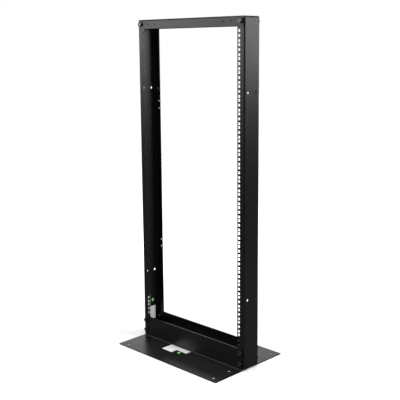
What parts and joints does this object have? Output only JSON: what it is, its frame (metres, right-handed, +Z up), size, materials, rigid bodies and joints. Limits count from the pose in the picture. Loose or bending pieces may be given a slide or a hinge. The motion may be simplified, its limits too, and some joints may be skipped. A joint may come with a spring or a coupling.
{
  "type": "two post open frame rack",
  "caption": "Open floor-standing frame of steel channel posts on bent base angles, with columns of square holes in the front flanges for bolting rack equipment between them.",
  "frame": {"origin": "on the floor, under the middle of the rack", "axes": "+X across the rack to the right as seen from the front, +Y from the front to the back, +Z up"},
  "size_m": [0.5144, 0.344, 1.196],
  "materials": {
    "powder_coat": "satin black powder coat with a fine texture",
    "bolt_steel": "black zinc plate, half gloss",
    "nut_steel": "black zinc plate, half gloss",
    "sticker": "white film, slightly glossy",
    "green_dot": "green printed film"
  },
  "bodies": {
    "root": {"post_left": "powder_coat", "post_right": "powder_coat", "base_angle_front": "powder_coat", "base_angle_rear": "powder_coat", "top_angle_front": "powder_coat", "top_angle_rear": "powder_coat", "bolt_base_front_left_low": "bolt_steel", "bolt_base_front_left_high": "bolt_steel", "bolt_base_front_right_low": "bolt_steel", "bolt_base_front_right_high": "bolt_steel", "bolt_base_rear_left_low": "bolt_steel", "bolt_base_rear_left_high": "bolt_steel", "bolt_base_rear_right_low": "bolt_steel", "bolt_base_rear_right_high": "bolt_steel", "bolt_top_front_left": "bolt_steel", "bolt_top_front_right": "bolt_steel", "bolt_top_rear_left": "bolt_steel", "bolt_top_rear_right": "bolt_steel", "nut_base_front_left_low": "nut_steel", "nut_base_front_left_high": "nut_steel", "nut_base_front_right_low": "nut_steel", "nut_base_front_right_high": "nut_steel", "nut_base_rear_left_low": "nut_steel", "nut_base_rear_left_high": "nut_steel", "nut_base_rear_right_low": "nut_steel", "nut_base_rear_right_high": "nut_steel", "nut_top_front_left": "nut_steel", "nut_top_front_right": "nut_steel", "nut_top_rear_left": "nut_steel", "nut_top_rear_right": "nut_steel", "sticker_base": "sticker", "sticker_post": "sticker", "dot_base": "green_dot", "dot_post": "green_dot"}
  },
  "joints": []
}
